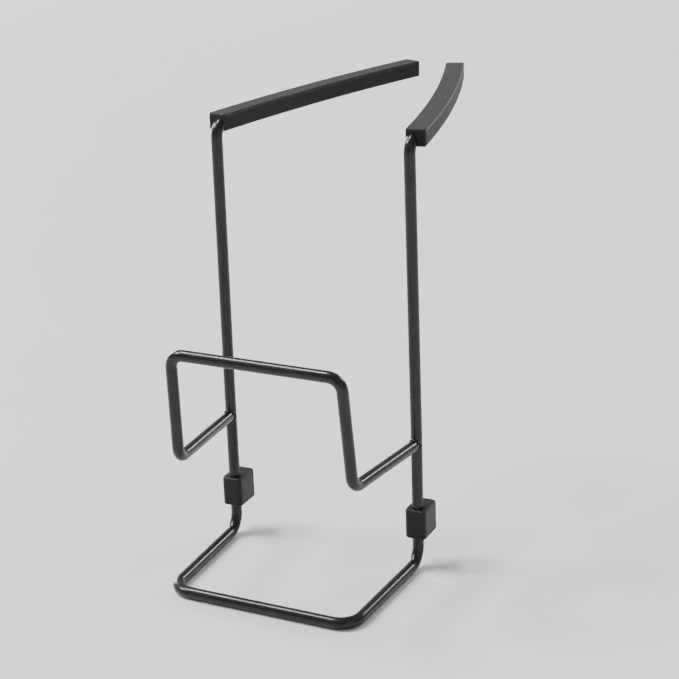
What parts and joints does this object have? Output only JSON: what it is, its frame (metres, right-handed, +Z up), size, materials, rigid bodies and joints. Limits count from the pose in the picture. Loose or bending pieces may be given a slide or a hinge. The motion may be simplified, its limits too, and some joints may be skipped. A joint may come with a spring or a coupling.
{
  "type": "razor stand",
  "caption": "Knock-down stand of bent round wire with a front cradle loop and a pair of level rails that curve towards each other at the back.",
  "frame": {"origin": "on the floor, midway between the feet of the two posts", "axes": "+Z up, +Y to the back along the rails, +X to the right as seen from the front"},
  "size_m": [0.0996, 0.1994, 0.194],
  "materials": {
    "wire": "satin black powder coat on steel wire",
    "connector": "moulded black nylon, fine texture",
    "rail": "moulded black nylon, fine texture",
    "pad": "soft matte silicone",
    "screw": "stainless set screw"
  },
  "bodies": {
    "base": {"base_wire": "wire", "left_connector": "connector", "left_grub_screw": "screw", "right_connector": "connector", "right_grub_screw": "screw"},
    "upper_frame": {"cradle_wire": "wire", "left_upright_wire": "wire", "left_rail": "rail", "left_rail_pad": "pad", "right_upright_wire": "wire", "right_rail": "rail", "right_rail_pad": "pad"}
  },
  "joints": [
    {"name": "frame_lift", "type": "slide", "parent": "base", "child": "upper_frame", "axis": [0, 0, 1], "range_m": [0, 0.01]}
  ]
}
